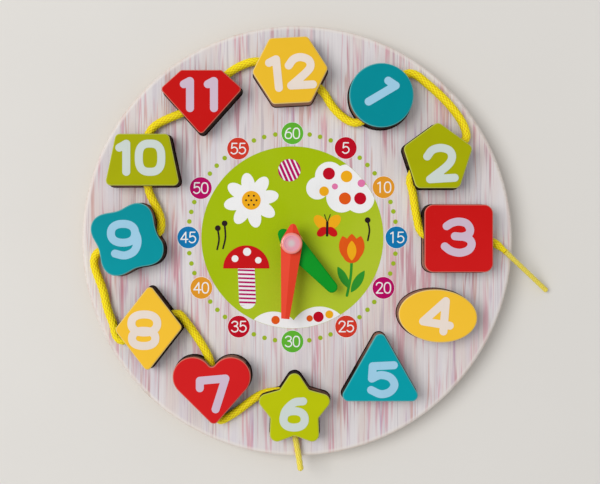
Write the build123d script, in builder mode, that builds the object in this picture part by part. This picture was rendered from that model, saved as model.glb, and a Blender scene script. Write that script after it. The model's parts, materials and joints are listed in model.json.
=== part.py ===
"""Geared teaching clock with twelve lacing blocks.

Frame: origin on the underside at the centre of the round board, +Z up out of
the dial, +Y towards twelve o'clock and +X towards three o'clock. Millimetres.
"""
from build123d import *
from math import acos, cos, pi, radians, sin, tan
import os

# ---------------------------------------------------------------- board
board_diameter = 215.0
base_thickness = 8.0
face_thickness = 5.0
face_edge_radius = 2.0
base_edge_radius = 1.2

# ---------------------------------------------------------------- blocks
block_thickness = 16.0
block_edge_radius = 0.9
recess_clearance = 0.5
lace_hole_diameter = 7.0
lace_hole_height = 8.6

# outlines of the blocks; a polygon's size is that of its sharp corners before rounding
circle_diameter = 31.5
pentagon_radius = 18.0
pentagon_corner = 3.0
square_width = 33.6
square_height = 33.2
square_corner = 4.5
ellipse_length = 38.6
ellipse_width = 25.9
ellipse_tilt = -5.0
triangle_base = 41.2
triangle_height = 36.1
triangle_corner = 3.0
star_point_reach = 21.0
star_notch_reach = 12.4
star_point_radius = 3.6
star_notch_radius = 1.5
heart_lobe_radius = 9.7
heart_lobe_spacing = 18.8
heart_lobe_height = 6.4
heart_point_height = -13.9
heart_point_shift = 1.0
heart_point_radius = 2.6
heart_notch_radius = 2.0
rhombus_width = 33.4
rhombus_height = 43.2
rhombus_lean = 0.6
rhombus_corner = 2.2
wave_radius = 16.9
wave_swell = 2.2
wave_turn = 64.0
wave_points = 24
trapezoid_base = 36.8
trapezoid_top = 26.0
trapezoid_height = 25.4
trapezoid_corner = 2.5
gem_width = 40.4
gem_table_width = 19.8
gem_table_height = 15.3
gem_shoulder_height = 6.0
gem_point_depth = 16.6
gem_corner = 2.0
hexagon_radius = 18.7
hexagon_turn = 3.0
hexagon_corner = 2.5

# ---------------------------------------------------------------- lace
lace_diameter = 4.5
tip_diameter = 2.5
tip_lift = 0.25

# ---------------------------------------------------------------- movement
dial_pin_x = -2.6
dial_pin_y = -1.3
gear_module = 0.8
cannon_teeth = 10
minute_wheel_teeth = 30
small_pinion_teeth = 8
hour_wheel_teeth = 32
pressure_angle = 20.0
profile_shift = 0.5
pinion_addendum = 1.2
wheel_addendum = 0.5
tooth_root_gap = 0.25
tooth_backlash = 0.14
gear_thickness = 1.6
pinion_overlap = 0.3

cover_thickness = 2.0
pocket_roof = 1.2
pocket_gap = 1.2
axial_gap = 0.3
running_gap = 0.05
cover_fit_gap = 0.2
cover_rim = 7.5

arbor_diameter = 3.0
pivot_diameter = 2.0
pivot_depth = 1.2
stud_diameter = 2.0
pipe_wall = 1.0
bush_wall = 1.5
bush_flange_diameter = 12.0
bush_flange_thickness = 1.4

screw_diameter = 2.6
screw_head_diameter = 5.0
screw_length = 5.6
screw_point_length = 0.8
screw_slot_width = 0.8
screw_slot_depth = 0.6

# ---------------------------------------------------------------- hands
minute_clock_angle = 184.8
hour_clock_angle = 137.4
hand_stack_height = 6.0
hand_gap = 1.0
minute_hand_length = 37.0
minute_hand_tip_width = 4.0
minute_hand_width = 10.6
minute_hand_thickness = 2.6
minute_hand_edge = 1.4
minute_tail_length = 9.6
minute_tail_width = 3.6
hour_hand_length = 32.0
hour_hand_tip_width = 5.6
hour_hand_width = 10.8
hour_hand_thickness = 2.0
hour_tail_length = 8.8
hour_tail_width = 5.4
spigot_step = 0.3
cap_diameter = 10.4
cap_height = 2.6
cap_rim_radius = 0.9

# ---------------------------------------------------------------- worked out
os.makedirs("parts", exist_ok=True)
board_radius = board_diameter / 2
face_bottom = base_thickness
face_top = face_bottom + face_thickness
lace_hole_z = face_bottom + lace_hole_height
stud_distance = gear_module * (cannon_teeth + minute_wheel_teeth) / 2
arbor_x = dial_pin_x
stud_x = dial_pin_x + stud_distance
pocket_top = base_thickness - pocket_roof
wheel_bottom = cover_thickness + axial_gap
wheel_top = wheel_bottom + gear_thickness
hour_wheel_bottom = wheel_top + pinion_overlap + axial_gap
hour_wheel_top = hour_wheel_bottom + gear_thickness
pipe_inner_diameter = arbor_diameter + 2 * running_gap
pipe_diameter = pipe_inner_diameter + 2 * pipe_wall
bush_inner_diameter = pipe_diameter + 2 * running_gap
bush_diameter = bush_inner_diameter + 2 * bush_wall
hour_hand_bottom = face_top + hand_stack_height
hour_hand_top = hour_hand_bottom + hour_hand_thickness
minute_hand_bottom = hour_hand_top + hand_gap
minute_hand_top = minute_hand_bottom + minute_hand_thickness
widest_wheel_radius = gear_module * (hour_wheel_teeth / 2 + wheel_addendum)
pocket_width = 2 * (widest_wheel_radius + pocket_gap)
cover_width = pocket_width + 2 * cover_rim
arbor_plane = Plane(origin=(arbor_x, dial_pin_y, 0))
stud_plane = Plane(origin=(stud_x, dial_pin_y, 0))
pocket_plane = Plane(origin=((arbor_x + stud_x) / 2, dial_pin_y, 0))
cover_under_plane = Plane(origin=pocket_plane.origin, x_dir=(1, 0, 0), z_dir=(0, 0, -1))
screw_reach = (pocket_width + cover_rim) / 2
screw_spacing_x = stud_distance + 2 * screw_reach * cos(radians(45))
screw_spacing_y = 2 * screw_reach * sin(radians(45))


def save(piece, name):
    """Label a finished piece and write it as its own file."""
    piece.label = name
    export_step(piece, f"parts/{name}.step")


# ---------------------------------------------------------------- outlines
def grown(shape, grow):
    """The same outline, moved outwards for a recess."""
    with BuildSketch() as outline:
        add(shape)
        if grow > 0:
            offset(amount=grow, kind=Kind.ARC)
    return outline.sketch


def rounded_polygon(points, radius, grow):
    with BuildSketch() as outline:
        Polygon(*points, align=None)
        fillet(outline.vertices(), radius=radius)
    return grown(outline.sketch, grow)


def circle_outline(grow=0.0):
    with BuildSketch() as outline:
        Circle(circle_diameter / 2 + grow)
    return outline.sketch


def pentagon_outline(grow=0.0):
    with BuildSketch() as outline:
        RegularPolygon(radius=pentagon_radius, side_count=5, rotation=90)
        fillet(outline.vertices(), radius=pentagon_corner)
    return grown(outline.sketch, grow)


def square_outline(grow=0.0):
    with BuildSketch() as outline:
        RectangleRounded(square_width + 2 * grow, square_height + 2 * grow, square_corner + grow)
    return outline.sketch


def ellipse_outline(grow=0.0):
    with BuildSketch() as outline:
        Ellipse(ellipse_length / 2 + grow, ellipse_width / 2 + grow, rotation=ellipse_tilt)
    return outline.sketch


def triangle_outline(grow=0.0):
    corners = [
        (-triangle_base / 2, -triangle_height / 2),
        (triangle_base / 2, -triangle_height / 2),
        (0, triangle_height / 2),
    ]
    return rounded_polygon(corners, triangle_corner, grow)


def star_outline(grow=0.0):
    """Five blunt points with shallow notches between them."""
    corners = []
    for point in range(5):
        for reach, turn in ((star_point_reach, 90), (star_notch_reach, 126)):
            angle = radians(turn + 72 * point)
            corners.append((reach * cos(angle), reach * sin(angle)))
    with BuildSketch() as outline:
        Polygon(*corners, align=None)
        by_reach = outline.vertices().sort_by_distance((0, 0))
        fillet(by_reach[:5], radius=star_notch_radius)
        by_reach = outline.vertices().sort_by_distance((0, 0))
        fillet(by_reach[-5:], radius=star_point_radius)
    return grown(outline.sketch, grow)


def heart_outline(grow=0.0):
    """Two lobes, each joined to one rounded point by a straight flank."""
    with BuildSketch() as outline:
        for side in (-1, 1):
            with BuildSketch(mode=Mode.PRIVATE) as lobe:
                with Locations((side * heart_lobe_spacing / 2, heart_lobe_height)):
                    Circle(heart_lobe_radius + grow)
                with Locations((heart_point_shift, heart_point_height)):
                    Circle(heart_point_radius + grow)
                make_hull(lobe.edges())
            add(lobe.sketch)
        notch = outline.vertices().sort_by_distance((0, heart_lobe_height))[0]
        fillet(notch, radius=heart_notch_radius - grow)
    return outline.sketch


def rhombus_outline(grow=0.0):
    corners = [
        (rhombus_lean, rhombus_height / 2),
        (rhombus_width / 2, rhombus_lean),
        (-rhombus_lean, -rhombus_height / 2),
        (-rhombus_width / 2, -rhombus_lean),
    ]
    return rounded_polygon(corners, rhombus_corner, grow)


def wavy_outline(grow=0.0):
    """Round, with four soft lobes."""
    points = []
    for step in range(wave_points):
        angle = 360 * step / wave_points
        reach = wave_radius + wave_swell * cos(radians(4 * (angle - wave_turn))) + grow
        points.append((reach * cos(radians(angle)), reach * sin(radians(angle))))
    with BuildSketch() as outline:
        with BuildLine():
            Spline(*points, periodic=True)
        make_face()
    return outline.sketch


def trapezoid_outline(grow=0.0):
    corners = [
        (-trapezoid_base / 2, -trapezoid_height / 2),
        (trapezoid_base / 2, -trapezoid_height / 2),
        (trapezoid_top / 2, trapezoid_height / 2),
        (-trapezoid_top / 2, trapezoid_height / 2),
    ]
    return rounded_polygon(corners, trapezoid_corner, grow)


def gem_outline(grow=0.0):
    """A cut stone seen from the side: flat top, slanted shoulders and a point below."""
    corners = [
        (-gem_width / 2, gem_shoulder_height),
        (-gem_table_width / 2, gem_table_height),
        (gem_table_width / 2, gem_table_height),
        (gem_width / 2, gem_shoulder_height),
        (0, -gem_point_depth),
    ]
    return rounded_polygon(corners, gem_corner, grow)


def hexagon_outline(grow=0.0):
    with BuildSketch() as outline:
        RegularPolygon(radius=hexagon_radius, side_count=6, rotation=hexagon_turn)
        fillet(outline.vertices(), radius=hexagon_corner)
    return grown(outline.sketch, grow)


# number: (outline, centre x, centre y, hole x, hole y, hole direction)
# Centres are in parts of the board's radius. The hole's line passes through (hole x, hole y),
# measured in millimetres from the block's centre.
block_layout = {
    1: (circle_outline, 0.3842, 0.6614, 0.0, -1.8, 51.0),
    2: (pentagon_outline, 0.6409, 0.3740, 0.0, 0.6, 28.5),
    3: (square_outline, 0.7358, 0.0102, 0.0, 0.0, -2.3),
    4: (ellipse_outline, 0.6409, -0.3423, 0.0, 0.0, 85.0),
    5: (triangle_outline, 0.3786, -0.5628, 0.0, -5.0, 0.0),
    6: (star_outline, -0.0112, -0.7712, -3.0, -1.0, -72.0),
    7: (heart_outline, -0.3879, -0.6791, 1.2, 0.0, -81.5),
    8: (rhombus_outline, -0.6744, -0.3991, 0.0, 0.6, 30.5),
    9: (wavy_outline, -0.7721, 0.0056, 0.0, -1.2, 16.0),
    10: (trapezoid_outline, -0.7033, 0.3684, 1.3, 0.0, 92.0),
    11: (gem_outline, -0.4353, 0.6344, 0.0, 2.9, 40.5),
    12: (hexagon_outline, -0.0307, 0.7749, 0.0, 0.0, -24.2),
}
blocks = {
    number: (draw_outline, share_x * board_radius, share_y * board_radius, *hole)
    for number, (draw_outline, share_x, share_y, *hole) in block_layout.items()
}


# ---------------------------------------------------------------- gears
def involute(angle):
    return tan(angle) - angle


def tooth_points(teeth, shift, addendum, root_radius):
    """One tooth centred on +X: involute flanks in chords, straight below the base circle."""
    pitch_radius = gear_module * teeth / 2
    base_radius = pitch_radius * cos(radians(pressure_angle))
    tip_radius = pitch_radius + gear_module * addendum
    arc_thickness = gear_module * (pi / 2 + 2 * shift * tan(radians(pressure_angle)))
    half_at_pitch = (arc_thickness - tooth_backlash / 2) / (2 * pitch_radius)
    start_radius = max(base_radius, root_radius)
    flank = []
    for step in range(4):
        radius = start_radius + (tip_radius - start_radius) * step / 3
        roll = acos(min(1.0, base_radius / radius))
        half = half_at_pitch + involute(radians(pressure_angle)) - involute(roll)
        flank.append((radius, half))
    deep = root_radius - 0.3
    flank.insert(0, (deep, flank[0][1]))
    upper = [(r * cos(a), r * sin(a)) for r, a in flank]
    lower = [(x, -y) for x, y in reversed(upper)]
    return upper + lower


def gear_face(teeth, shift, addendum, root_radius, first_tooth):
    """The whole toothed outline, with the middle of its first tooth at that angle."""
    with BuildSketch() as face:
        Circle(root_radius)
        with PolarLocations(0, teeth, start_angle=first_tooth):
            Polygon(*tooth_points(teeth, shift, addendum, root_radius), align=None)
    return face.sketch


def root_of(other_teeth, other_addendum):
    """Root radius that clears the tips of the wheel it runs with."""
    return stud_distance - gear_module * (other_teeth / 2 + other_addendum) - tooth_root_gap


# ---------------------------------------------------------------- base plate
with BuildPart() as base_plate:
    with BuildSketch():
        Circle(board_radius)
    extrude(amount=base_thickness)
    fillet(base_plate.edges().group_by(Axis.Z)[0], radius=base_edge_radius)
    with BuildSketch(pocket_plane):
        SlotCenterToCenter(stud_distance, cover_width + 2 * cover_fit_gap)
    extrude(amount=cover_thickness, mode=Mode.SUBTRACT)
    with BuildSketch(pocket_plane):
        SlotCenterToCenter(stud_distance, pocket_width)
    extrude(amount=pocket_top, mode=Mode.SUBTRACT)
    with Locations(arbor_plane.offset(base_thickness)):
        Hole(bush_diameter / 2, depth=2 * pocket_roof)
    with Locations(stud_plane.offset(base_thickness)):
        Hole(stud_diameter / 2, depth=2 * pocket_roof)
    with BuildSketch(pocket_plane):
        with GridLocations(screw_spacing_x, screw_spacing_y, 2, 2):
            Circle(screw_diameter / 2)
    extrude(amount=screw_length, mode=Mode.SUBTRACT)
save(base_plate.part, "base_plate")

# ---------------------------------------------------------------- face plate
with BuildPart() as face_plate:
    with BuildSketch(Plane.XY.offset(face_bottom)):
        Circle(board_radius)
    extrude(amount=face_thickness)
    fillet(face_plate.edges().group_by(Axis.Z)[-1], radius=face_edge_radius)
    with Locations(arbor_plane.offset(face_top)):
        Hole(bush_diameter / 2, depth=face_thickness)
    for draw_outline, x, y, hole_x, hole_y, hole_angle in blocks.values():
        with BuildSketch(Plane(origin=(x, y, face_bottom))):
            add(draw_outline(recess_clearance))
        extrude(amount=face_thickness, mode=Mode.SUBTRACT)
save(face_plate.part, "face_plate")

# ---------------------------------------------------------------- number blocks
for number, (draw_outline, x, y, hole_x, hole_y, hole_angle) in blocks.items():
    with BuildPart() as block:
        with BuildSketch(Plane(origin=(x, y, face_bottom))):
            add(draw_outline())
        extrude(amount=block_thickness)
        underside_and_top = block.edges().group_by(Axis.Z)[0] + block.edges().group_by(Axis.Z)[-1]
        fillet(underside_and_top, radius=block_edge_radius)
        along_hole = (cos(radians(hole_angle)), sin(radians(hole_angle)), 0)
        with BuildSketch(Plane(origin=(x + hole_x, y + hole_y, lace_hole_z), z_dir=along_hole)):
            Circle(lace_hole_diameter / 2)
        extrude(amount=2 * block_thickness, both=True, mode=Mode.SUBTRACT)
    save(block.part, f"number_block_{number}")

# ---------------------------------------------------------------- gear cover and its screws
with BuildPart() as gear_cover:
    with BuildSketch(pocket_plane):
        SlotCenterToCenter(stud_distance, cover_width)
    extrude(amount=cover_thickness)
    with Locations(arbor_plane.offset(cover_thickness)):
        Hole(pivot_diameter / 2 + running_gap, depth=pivot_depth)
    with Locations(stud_plane.offset(cover_thickness)):
        Hole(stud_diameter / 2, depth=pivot_depth)
    with Locations(cover_under_plane):
        with GridLocations(screw_spacing_x, screw_spacing_y, 2, 2):
            CounterSinkHole(screw_diameter / 2, screw_head_diameter / 2, counter_sink_angle=90)
save(gear_cover.part, "gear_cover")

head_height = (screw_head_diameter - screw_diameter) / 2
with BuildPart() as screw:
    with BuildSketch(Plane.XZ):
        with BuildLine():
            Polyline(
                (0, 0),
                (screw_head_diameter / 2, 0),
                (screw_diameter / 2, head_height),
                (screw_diameter / 2, screw_length - screw_point_length),
                (0, screw_length),
                close=True,
            )
        make_face()
    revolve(axis=Axis.Z)
    with BuildSketch():
        Rectangle(screw_head_diameter, screw_slot_width)
    extrude(amount=screw_slot_depth, mode=Mode.SUBTRACT)

with BuildPart() as cover_screws:
    with Locations(pocket_plane):
        with GridLocations(screw_spacing_x, screw_spacing_y, 2, 2):
            add(screw.part)
save(cover_screws.part, "cover_screws")

# ---------------------------------------------------------------- movement, fixed pieces
with BuildPart() as arbor_bush:
    with BuildSketch(arbor_plane.offset(pocket_top)):
        Circle(bush_diameter / 2)
    extrude(amount=face_top - pocket_top)
    with BuildSketch(arbor_plane.offset(face_top)):
        Circle(bush_flange_diameter / 2)
    extrude(amount=bush_flange_thickness)
    fillet(arbor_bush.edges().group_by(Axis.Z)[-1], radius=bush_flange_thickness / 3)
    with Locations(arbor_plane.offset(face_top + bush_flange_thickness)):
        Hole(bush_inner_diameter / 2)
save(arbor_bush.part, "arbor_bush")

with BuildPart() as wheel_stud:
    with BuildSketch(stud_plane.offset(cover_thickness - pivot_depth)):
        Circle(stud_diameter / 2)
    extrude(amount=base_thickness - cover_thickness + pivot_depth)
save(wheel_stud.part, "wheel_stud")

# ---------------------------------------------------------------- movement, turning pieces
cannon_root = root_of(minute_wheel_teeth, wheel_addendum)
minute_wheel_root = root_of(cannon_teeth, pinion_addendum)
small_pinion_root = root_of(hour_wheel_teeth, wheel_addendum)
hour_wheel_root = root_of(small_pinion_teeth, pinion_addendum)
half_pitch_minute = 180 / minute_wheel_teeth
half_pitch_hour = 180 / hour_wheel_teeth
spigot_radius = arbor_diameter / 2 - spigot_step
spigot_length = minute_hand_thickness + cap_height / 2

with BuildPart() as minute_arbor:
    with BuildSketch(arbor_plane.offset(wheel_bottom)):
        add(gear_face(cannon_teeth, profile_shift, pinion_addendum, cannon_root, 0))
    extrude(amount=gear_thickness + pinion_overlap)
    with BuildSketch(arbor_plane.offset(wheel_bottom)):
        Circle(pivot_diameter / 2)
    extrude(amount=-(pivot_depth + axial_gap - running_gap))
    with BuildSketch(arbor_plane.offset(wheel_bottom)):
        Circle(arbor_diameter / 2)
    extrude(amount=minute_hand_bottom - wheel_bottom)
    with BuildSketch(arbor_plane.offset(minute_hand_bottom)):
        Circle(spigot_radius)
    extrude(amount=spigot_length)
save(minute_arbor.part, "minute_arbor")

with BuildPart() as minute_wheel:
    with BuildSketch(stud_plane.offset(wheel_bottom)):
        add(gear_face(minute_wheel_teeth, -profile_shift, wheel_addendum, minute_wheel_root,
                      180 + half_pitch_minute))
    extrude(amount=gear_thickness)
    with BuildSketch(stud_plane.offset(wheel_top)):
        add(gear_face(small_pinion_teeth, profile_shift, pinion_addendum, small_pinion_root, 180))
    extrude(amount=pocket_top - axial_gap - wheel_top)
    with Locations(stud_plane.offset(pocket_top)):
        Hole(stud_diameter / 2 + running_gap)
save(minute_wheel.part, "minute_wheel")

with BuildPart() as hour_wheel:
    with BuildSketch(arbor_plane.offset(hour_wheel_bottom)):
        add(gear_face(hour_wheel_teeth, -profile_shift, wheel_addendum, hour_wheel_root,
                      half_pitch_hour))
    extrude(amount=gear_thickness)
    with BuildSketch(arbor_plane.offset(hour_wheel_bottom)):
        Circle(bush_diameter / 2)
    extrude(amount=pocket_top - axial_gap - hour_wheel_bottom)
    with BuildSketch(arbor_plane.offset(hour_wheel_bottom)):
        Circle(pipe_diameter / 2)
    extrude(amount=hour_hand_bottom - hour_wheel_bottom)
    with BuildSketch(arbor_plane.offset(hour_hand_bottom)):
        Circle(pipe_diameter / 2 - spigot_step)
    extrude(amount=hour_hand_thickness)
    with Locations(arbor_plane.offset(hour_hand_top)):
        Hole(pipe_inner_diameter / 2)
save(hour_wheel.part, "hour_wheel")


# ---------------------------------------------------------------- hands and cap
def hand_direction(clock_angle):
    return (sin(radians(clock_angle)), cos(radians(clock_angle)), 0)


def hand_face(width, tip_shape, tail_length, tail_width):
    """Hub circle drawn out to the tip and to a small rounded tail, along local X."""
    with BuildSketch() as face:
        Circle(width / 2)
        add(tip_shape)
        with Locations((-(tail_length - tail_width / 2), 0)):
            Circle(tail_width / 2)
        make_hull()
    return face.sketch


tip_depth = 0.8
with BuildSketch() as flat_tip:
    with Locations((minute_hand_length - tip_depth / 2, 0)):
        Rectangle(tip_depth, minute_hand_tip_width)
with BuildSketch() as round_tip:
    with Locations((hour_hand_length - hour_hand_tip_width / 2, 0)):
        Circle(hour_hand_tip_width / 2)

minute_direction = hand_direction(minute_clock_angle)
hour_direction = hand_direction(hour_clock_angle)
minute_origin = (arbor_x, dial_pin_y, minute_hand_bottom)
hour_origin = (arbor_x, dial_pin_y, hour_hand_bottom)
across_minute_hand = (-minute_direction[1], minute_direction[0], 0)
roof_plane = Plane(origin=minute_origin, x_dir=across_minute_hand, z_dir=minute_direction)

with BuildPart() as minute_hand:
    with BuildSketch(Plane(origin=minute_origin, x_dir=minute_direction)):
        add(hand_face(minute_hand_width, flat_tip.sketch, minute_tail_length, minute_tail_width))
    extrude(amount=minute_hand_thickness)
    with BuildSketch(roof_plane.offset(-minute_hand_length)):
        Polygon(
            (-minute_hand_width / 2, 0),
            (minute_hand_width / 2, 0),
            (minute_hand_width / 2, minute_hand_edge),
            (0, minute_hand_thickness),
            (-minute_hand_width / 2, minute_hand_edge),
            align=None,
        )
    extrude(amount=2 * minute_hand_length, mode=Mode.INTERSECT)
    with Locations(arbor_plane.offset(minute_hand_top)):
        Hole(spigot_radius)
save(minute_hand.part, "minute_hand")

with BuildPart() as hour_hand:
    with BuildSketch(Plane(origin=hour_origin, x_dir=hour_direction)):
        add(hand_face(hour_hand_width, round_tip.sketch, hour_tail_length, hour_tail_width))
    extrude(amount=hour_hand_thickness)
    chamfer(hour_hand.edges().group_by(Axis.Z)[-1], length=hour_hand_thickness / 4)
    with Locations(arbor_plane.offset(hour_hand_top)):
        Hole(pipe_diameter / 2 - spigot_step)
save(hour_hand.part, "hour_hand")

with BuildPart() as hand_cap:
    with BuildSketch(arbor_plane.offset(minute_hand_top)):
        Circle(cap_diameter / 2)
    extrude(amount=cap_height)
    fillet(hand_cap.edges().group_by(Axis.Z)[-1], radius=cap_rim_radius)
    with BuildSketch(arbor_plane.offset(minute_hand_top + cap_height)):
        Circle(cap_diameter / 2 - 2 * cap_rim_radius)
    extrude(amount=-cap_rim_radius / 3, mode=Mode.SUBTRACT)
    with BuildSketch(arbor_plane.offset(minute_hand_top)):
        Circle(spigot_radius)
    extrude(amount=cap_height / 2, mode=Mode.SUBTRACT)
save(hand_cap.part, "hand_cap")


# ---------------------------------------------------------------- lace
def bend_radii(points):
    """As large an arc at each point as its two runs allow."""
    radii = []
    for before, here, after in zip(points, points[1:], points[2:]):
        arriving = Vector(*here) - Vector(*before)
        leaving = Vector(*after) - Vector(*here)
        half_turn = radians(arriving.get_angle(leaving) / 2)
        shorter = min(arriving.length, leaving.length)
        radii.append(0.45 * shorter / tan(half_turn))
    return radii


def lace_tube(name, points, diameter):
    radii = bend_radii(points)
    with BuildPart() as tube:
        with BuildLine() as route:
            FilletPolyline(*points, radius=radii)
        with BuildSketch(Plane(origin=route.line @ 0, z_dir=route.line % 0)):
            Circle(diameter / 2)
        sweep()
    expected = pi * diameter**2 / 4 * route.wire().length
    print(name, "radii", [round(r, 1) for r in radii])
    print(name, "length", round(route.wire().length, 1), "volume / expected",
          round(tube.part.volume / expected, 4))
    save(tube.part, name)


# x and y in millimetres on a board of 215, then the rise above the middle of the lace holes
lace_points = [
    # from its right-hand end through block 3
    (103.0, -5.2, 0.0),
    (98.3, -0.9, 0.1),
    (91.5, 0.7, 0.0),
    (80.0, 1.0, -0.1),
    (69.0, 1.6, 0.1),
    (62.6, 2.0, -0.1),
    # across to block 2
    (58.2, 4.4, -0.4),
    (56.2, 9.2, -0.9),
    (56.0, 16.5, -1.2),
    (55.0, 24.5, -1.1),
    (53.4, 29.8, -0.7),
    (57.2, 34.4, -0.1),
    (63.6, 38.2, 0.0),
    (72.6, 42.6, -0.1),
    (80.0, 46.8, 0.1),
    # round to block 1
    (84.8, 50.4, -0.4),
    (85.4, 56.0, -0.9),
    (82.4, 62.0, -1.2),
    (77.2, 67.6, -1.1),
    (71.0, 73.8, -1.2),
    (65.2, 79.4, -1.0),
    (60.0, 83.4, -0.6),
    (55.0, 83.8, -0.2),
    (50.2, 80.2, 0.0),
    (44.8, 73.9, -0.1),
    (38.8, 66.0, 0.1),
    (33.8, 60.2, -0.1),
    # up to block 12
    (29.4, 57.2, -0.4),
    (24.6, 58.4, -0.9),
    (20.2, 62.4, -1.2),
    (16.8, 67.8, -1.1),
    (13.8, 73.6, -0.6),
    (8.2, 78.1, -0.1),
    (-3.3, 83.4, 0.1),
    (-15.0, 88.4, -0.1),
    # down to block 11
    (-21.6, 90.2, -0.5),
    (-28.2, 88.4, -1.0),
    (-33.4, 83.6, -0.6),
    (-38.4, 78.2, -0.1),
    (-46.9, 71.3, 0.1),
    (-55.4, 63.8, -0.1),
    # round to block 10
    (-61.4, 60.6, -0.6),
    (-67.6, 59.2, -1.1),
    (-72.2, 56.4, -0.6),
    (-74.5, 50.8, -0.1),
    (-74.2, 39.6, 0.1),
    (-74.1, 29.2, -0.1),
    # down to block 9
    (-73.4, 24.0, -0.6),
    (-71.2, 19.4, -1.1),
    (-68.4, 14.9, -1.2),
    (-66.1, 10.9, -0.9),
    (-65.8, 6.7, -0.5),
    (-68.0, 3.6, -0.2),
    (-73.0, 2.2, 0.0),
    (-79.6, 0.4, -0.1),
    (-88.5, -2.2, 0.1),
    (-95.4, -4.2, -0.1),
    # down the left side to block 8
    (-99.6, -6.2, -0.4),
    (-101.0, -10.8, -0.9),
    (-99.8, -17.0, -1.2),
    (-97.2, -25.4, -1.1),
    (-94.2, -34.0, -1.2),
    (-92.6, -42.0, -1.0),
    (-91.2, -47.4, -0.6),
    (-87.0, -50.2, -0.2),
    (-81.6, -47.8, 0.0),
    (-72.5, -42.2, -0.1),
    (-64.0, -37.3, 0.1),
    # down to block 7
    (-58.6, -35.6, -0.3),
    (-54.6, -38.6, -0.8),
    (-50.8, -46.0, -1.2),
    (-45.4, -53.4, -1.0),
    (-42.4, -60.4, -0.4),
    (-40.8, -71.4, 0.0),
    (-39.4, -81.0, -0.1),
    # round the point of block 7 and over to block 6
    (-38.5, -86.6, -0.2),
    (-36.5, -90.0, -0.4),
    (-32.9, -91.2, -0.6),
    (-29.4, -89.4, -0.8),
    (-27.6, -85.3, -1.0),
    (-25.0, -81.3, -1.2),
    (-22.4, -77.2, -1.1),
    (-17.8, -72.2, -1.0),
    (-14.4, -70.0, -0.7),
    (-10.9, -69.7, -0.5),
    (-7.8, -71.3, -0.3),
    (-6.5, -74.9, -0.1),
    (-5.7, -79.0, 0.0),
    (-4.4, -83.2, -0.1),
]
bottom_tip_points = [lace_points[-1], (-0.9, -95.6, -0.5), (1.0, -114.6, -2.0)]
right_tip_end = (127.5, -25.8)
tip_rest_height = tip_diameter / 2 + tip_lift
route_scale = board_diameter / 215


def on_board(points):
    """Lace points at the size of this board."""
    return [(x * route_scale, y * route_scale, lace_hole_z + rise) for x, y, rise in points]


lace_route = on_board(lace_points)
bottom_tip_route = on_board(bottom_tip_points)
right_tip_route = [
    lace_route[0],
    (right_tip_end[0] * route_scale, right_tip_end[1] * route_scale, tip_rest_height),
]

lace_tube("lacing_cord", lace_route, lace_diameter)
lace_tube("lace_tip_bottom", bottom_tip_route, tip_diameter)

with BuildPart() as lace_tip_right:
    with BuildLine() as tip_line:
        Line(*right_tip_route)
    with BuildSketch(Plane(origin=tip_line.line @ 0, z_dir=tip_line.line % 0)):
        Circle(tip_diameter / 2)
    sweep()
save(lace_tip_right.part, "lace_tip_right")
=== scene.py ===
# Lacing clock on a table: twelve number blocks, a printed dial, two hands and a braided lace.
# Materials and light are in metres, routes and prints in millimetres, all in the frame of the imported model.
import json
import math

import bmesh
import bpy
import numpy as np
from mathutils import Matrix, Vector


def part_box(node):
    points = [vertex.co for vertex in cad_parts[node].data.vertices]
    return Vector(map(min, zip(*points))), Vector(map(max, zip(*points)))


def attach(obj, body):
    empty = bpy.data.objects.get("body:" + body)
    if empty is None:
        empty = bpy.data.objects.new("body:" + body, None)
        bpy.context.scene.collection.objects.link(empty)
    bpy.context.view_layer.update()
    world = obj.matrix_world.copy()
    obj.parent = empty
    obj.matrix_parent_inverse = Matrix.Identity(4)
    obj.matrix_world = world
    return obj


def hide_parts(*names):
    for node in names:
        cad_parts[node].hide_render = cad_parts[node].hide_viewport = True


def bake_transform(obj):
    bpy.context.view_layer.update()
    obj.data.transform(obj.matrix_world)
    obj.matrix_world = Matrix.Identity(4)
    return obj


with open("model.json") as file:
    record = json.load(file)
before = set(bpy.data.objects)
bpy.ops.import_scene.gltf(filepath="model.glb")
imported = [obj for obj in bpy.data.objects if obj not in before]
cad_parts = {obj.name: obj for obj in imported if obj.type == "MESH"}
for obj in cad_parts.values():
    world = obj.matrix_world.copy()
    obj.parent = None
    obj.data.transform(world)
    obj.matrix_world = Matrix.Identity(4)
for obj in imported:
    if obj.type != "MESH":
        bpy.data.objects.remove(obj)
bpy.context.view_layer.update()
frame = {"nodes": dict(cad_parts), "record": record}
nodes = frame["nodes"]
mm = 0.001
print("frame loaded:", len(nodes), "nodes")


# colours and small node helpers
def linear(red, green, blue):
    # screen values 0 to 255 to scene linear
    def channel(value):
        value /= 255
        return value / 12.92 if value <= 0.04045 else ((value + 0.055) / 1.055) ** 2.4
    return (channel(red), channel(green), channel(blue), 1.0)


def dimmed(colour, share):
    return tuple(channel * share for channel in colour[:3]) + (1.0,)


def feed(socket, value):
    # a socket takes a plain value or another node's outlet
    if isinstance(value, (int, float, tuple)):
        socket.default_value = value
    elif value is not None:
        socket.id_data.links.new(value, socket)


def treeOf(*values):
    # the node tree that the outlets among the values belong to
    return next(value.id_data for value in values if hasattr(value, "id_data"))


def addNode(tree, kind, inputs=None, **settings):
    node = tree.nodes.new(kind)
    for name, value in settings.items():
        setattr(node, name, value)
    for name, value in (inputs or {}).items():
        feed(node.inputs[name], value)
    return node


def maths(operation, first, second=None, clamp=False):
    node = addNode(treeOf(first, second), "ShaderNodeMath", operation=operation, use_clamp=clamp)
    feed(node.inputs[0], first)
    feed(node.inputs[1], second)
    return node.outputs[0]


def plus(first, second, clamp=False):
    return maths("ADD", first, second, clamp)


def minus(first, second, clamp=False):
    return maths("SUBTRACT", first, second, clamp)


def times(first, second, clamp=False):
    return maths("MULTIPLY", first, second, clamp)


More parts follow.
